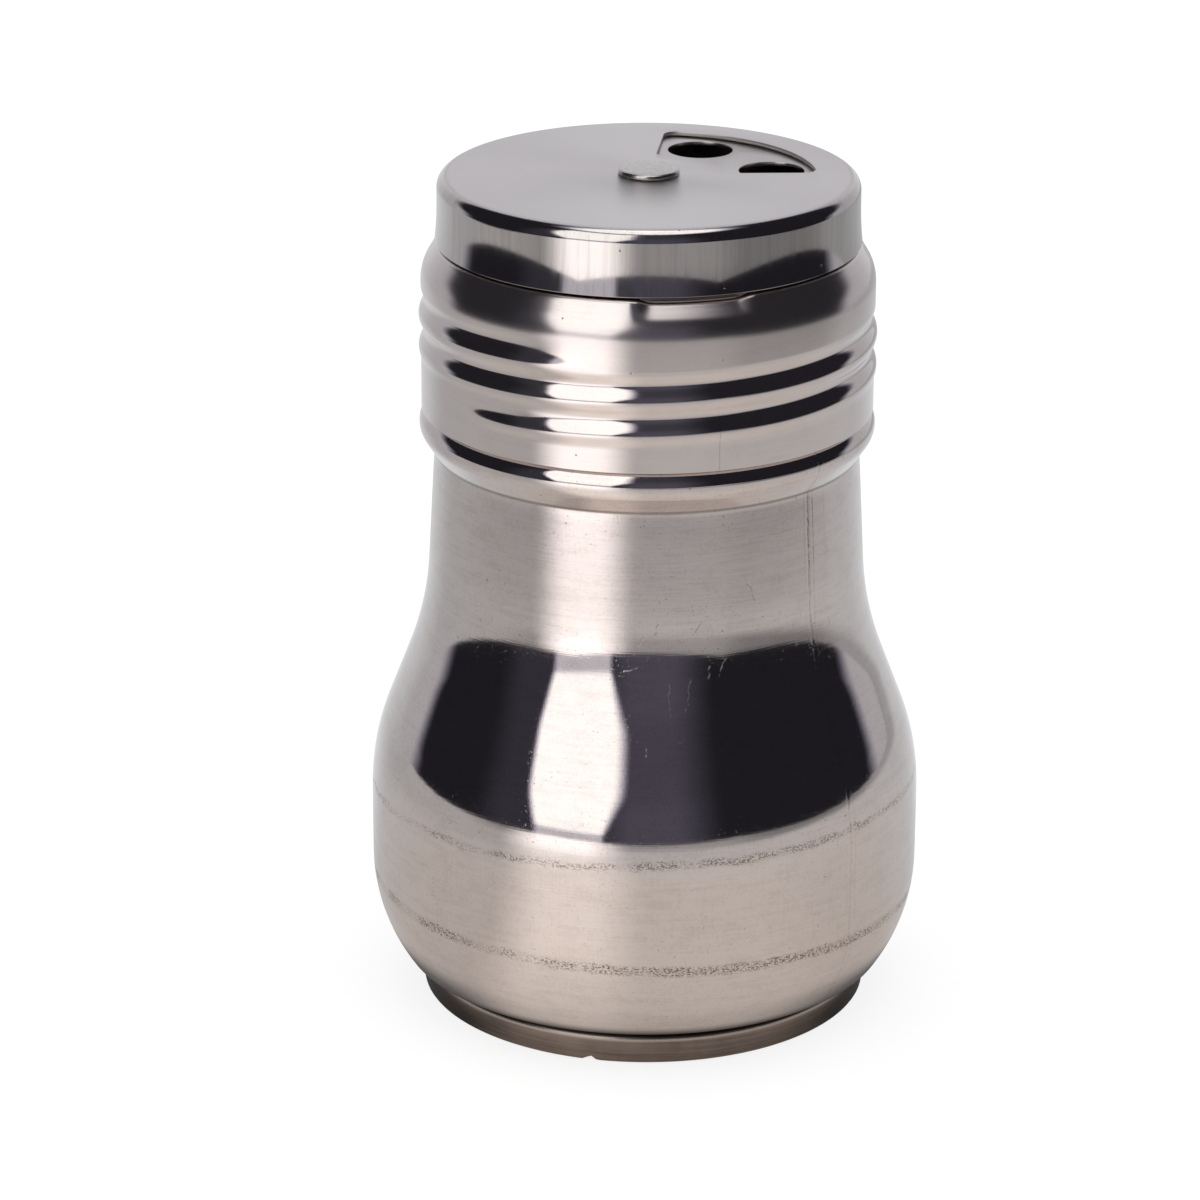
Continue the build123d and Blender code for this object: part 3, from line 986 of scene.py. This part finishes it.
def build_washers(material):
    dished = washer_outline(4.4, dished_washer_z, 0.3, inner_edge=0.04, outer_edge=0.04, dish=0.3)
    flat = washer_outline(5.0, flat_washer_z, 0.5, inner_edge=0.05, outer_edge=0.08)
    washers = [("washer_dished", "dished_washer", dished), ("washer_flat", "tail_washer", flat)]
    for name, node, outline in washers:
        mesh = bmesh.new()
        turned(mesh, outline, even_angles(96))
        made_piece(name, mesh, material, "rivet", node, sharp=40)


build_container(container_steel())
build_bottom(foot_steel())
build_lid(lid_steel())
build_dial(dial_steel())
build_rivet(rivet_steel())
build_washers(washer_steel())

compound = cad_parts["seam_compound"]
compound.data.materials.clear()
compound.data.materials.append(seam_rubber())


# ---------------------------------------------------------------- setting

# In the setting lengths are in metres, and directions are in degrees from the shaker's front
# towards its right.
table_corners = [(-0.41, -0.56), (0.43, -0.56), (0.43, 0.8), (-0.41, 0.8)]


def ray_kinds(tree):
    """1 on rays from the camera, on rays off a mirroring surface, and on rays through a clear
    one."""
    kinds = ("Is Camera Ray", "Is Glossy Ray", "Is Transmission Ray")
    return [tree.node("ShaderNodeLightPath", {}, {}, output=kind) for kind in kinds]


def from_front(x, y):
    """Direction from the shaker's front towards its right, in degrees."""
    return x.maths("ARCTAN2", -y) * (180 / math.pi)


def table_top():
    """Pale matt table top, white where the camera looks at it, which keeps the shaker's shadow. In
    steel it shows painted light: brighter beside the tall light, a painted shadow round the
    shaker's foot, and fading farther away."""
    material, tree = new_material("table_top")
    seen, glossy, passed = ray_kinds(tree)
    x, y, _ = place_in(tree)
    azimuth = from_front(x, y)
    side = abs(azimuth)
    far = off_axis(x, y)

    # Painted light on the table as steel sees it: a pool beside the tall light, darker and lighter
    # patches round it, and a fade farther away, tinted warm near the shaker and cool to the sides.
    glow_middle = -25 - far.between(0.05, 0.25) * 6.5
    glow_level = (
        far.between(0.0, 0.09) * 0.40
        + far.between(0.1, 0.3) * 0.70
        + far.between(0.28, 0.40) * 0.34
    )
    by_the_light = (1 - abs(azimuth - glow_middle).between(7.5, 27.5)) * glow_level
    left = (azimuth + 88).near(0, 30, 26) * 0.10
    right_near = (azimuth - 95).near(0, 25, 35) * (1 - far.between(0.05, 0.2)) * 0.08
    right_far = (azimuth - 72).near(0, 18, 25) * far.between(0.25, 0.34) * 0.16
    back = side.between(120, 160) * 0.12
    # Painted shadow round the shaker's foot, seen in steel.
    under = (1 - far.between(0.029, 0.038)) * (0.12 + side.between(15, 75) * 0.38)
    fade = (
        far.between(0.08, 0.2) * 0.12
        + far.between(0.26, 0.37) * azimuth.between(-85, -40) * 0.22
        + far.between(0.40, 0.65) * 0.06
    )
    level = 0.50 - fade + by_the_light - left - (right_near + right_far) + back - under
    glow = seen * 0.80 + (glossy + passed).least(1.0) * level.most(0.0)

    warm, pale, cool = rgb(1, 0.895, 0.80), rgb(1, 0.95, 0.93), rgb(0.93, 0.96, 1.0)
    tone = tree.blend(far.between(0.06, 0.22), warm, pale)
    tone = tree.blend(side.between(75, 140), tone, cool)
    colour = tree.blend(glow / 2, black, tree.blend(seen, tone, white))
    matt = tree.node("ShaderNodeBsdfDiffuse", {}, {"Color": rgb(0.36, 0.36, 0.36)})
    glowing = tree.node("ShaderNodeEmission", {}, {"Color": colour, "Strength": 2.0})
    both = tree.node("ShaderNodeAddShader", {}, {0: matt, 1: glowing})
    tree.node("ShaderNodeOutputMaterial", {}, {"Surface": both})
    return material


def build_table():
    mesh = bmesh.new()
    mesh.faces.new([mesh.verts.new((across, away, 0)) for across, away in table_corners])
    table = made_object("table", mesh, table_top())


def build_room():
    """White tent round the back and overhead, open and dim towards the front, with one tall pale
    light in the opening's left half. Plain white to the camera and on dull surfaces."""
    world = bpy.data.worlds.new("tent")
    bpy.context.scene.world = world
    world.use_nodes = True
    tree = Tree(world.node_tree)
    seen, glossy, passed = ray_kinds(tree)
    x, y, z = tree.apart(tree.node("ShaderNodeTexCoord", {}, {}, output="Generated"))
    azimuth = from_front(x, y)
    side = abs(azimuth)
    height = z.maths("ARCSINE") * (180 / math.pi)
    raised = height.most(0)
    raised_low = raised.least(22.0)

    back_edge = 112 + raised * 0.9
    opening = (1 - (side - back_edge).between(-5.0, 7.0)) * (1 - height.between(62.0, 70.0))
    overhead = height.between(66.0, 73.0)
    tent = 0.56 + side.between(128, 176) * 0.30 + overhead * 1.1

    left_edge = -45.5 - raised * 0.33
    right_edge = -17 + raised_low * 0.33
    blur = 1.5 + raised_low * 0.12
    light_width = azimuth.between(left_edge - 2, left_edge + 2)
    light_width = light_width * (1 - azimuth.between(right_edge - blur, right_edge + blur))
    light_foot = height.between(-14.0, -12.0) * 0.45 + height.between(-0.5, 2.0) * 0.55
    tall_light = light_width * light_foot * (1 - height.between(58.0, 66.0))

    right_of_light = (azimuth - 4).near(0, 7, 24)
    right_of_light = right_of_light * (0.05 + 0.05 * (1 - height.between(8.0, 40.0)))
    left_of_light = (azimuth + 56).near(0, 4, 17) * 0.035
    dim = 0.022 + (right_of_light + left_of_light)

    mirrored = tent * (1 - opening) + dim * opening
    mirrored = mirrored * (1 - tall_light) + tall_light * 1.65
    plain = 0.72 + (seen + passed).least(1.0) * 0.28
    level = mirrored * glossy + (1 - glossy) * plain

    day, dusk, lamp = rgb(0.965, 0.96, 1.0), rgb(0.78, 0.735, 1.0), rgb(1, 0.985, 0.965)
    tone = tree.blend(opening * (1 - tall_light), day, dusk)
    tone = tree.blend((overhead + tall_light).least(1.0), tone, lamp)
    colour = tree.blend(level / 2, black, tree.blend(glossy, white, tone))
    background = tree.node("ShaderNodeBackground", {}, {"Color": colour, "Strength": 2.0})
    tree.node("ShaderNodeOutputWorld", {}, {"Surface": background})


def place_camera():
    """Camera in front of the shaker, a little above it and looking down on it."""
    data = bpy.data.cameras.new("camera")
    data.sensor_width = 36.0
    data.lens = 147.416
    camera = bpy.data.objects.new("camera", data)
    down, aside, roll = math.radians(20.088), math.radians(0.569), math.radians(0.218)
    level_ahead = math.cos(down)
    right = Vector((math.cos(aside), math.sin(aside), 0))
    ahead = Vector((-math.sin(aside) * level_ahead, math.cos(aside) * level_ahead, -math.sin(down)))
    up = right.cross(ahead)
    across = right * math.cos(roll) + up * math.sin(roll)
    above = up * math.cos(roll) - right * math.sin(roll)
    frame_of_view = Matrix((across, above, -ahead)).transposed().to_4x4()
    frame_of_view.translation = Vector((0, -0.58207, 0.26385))
    camera.matrix_world = frame_of_view
    bpy.context.scene.collection.objects.link(camera)
    bpy.context.scene.camera = camera


build_table()
build_room()
place_camera()
bpy.context.scene.view_settings.view_transform = "Standard"
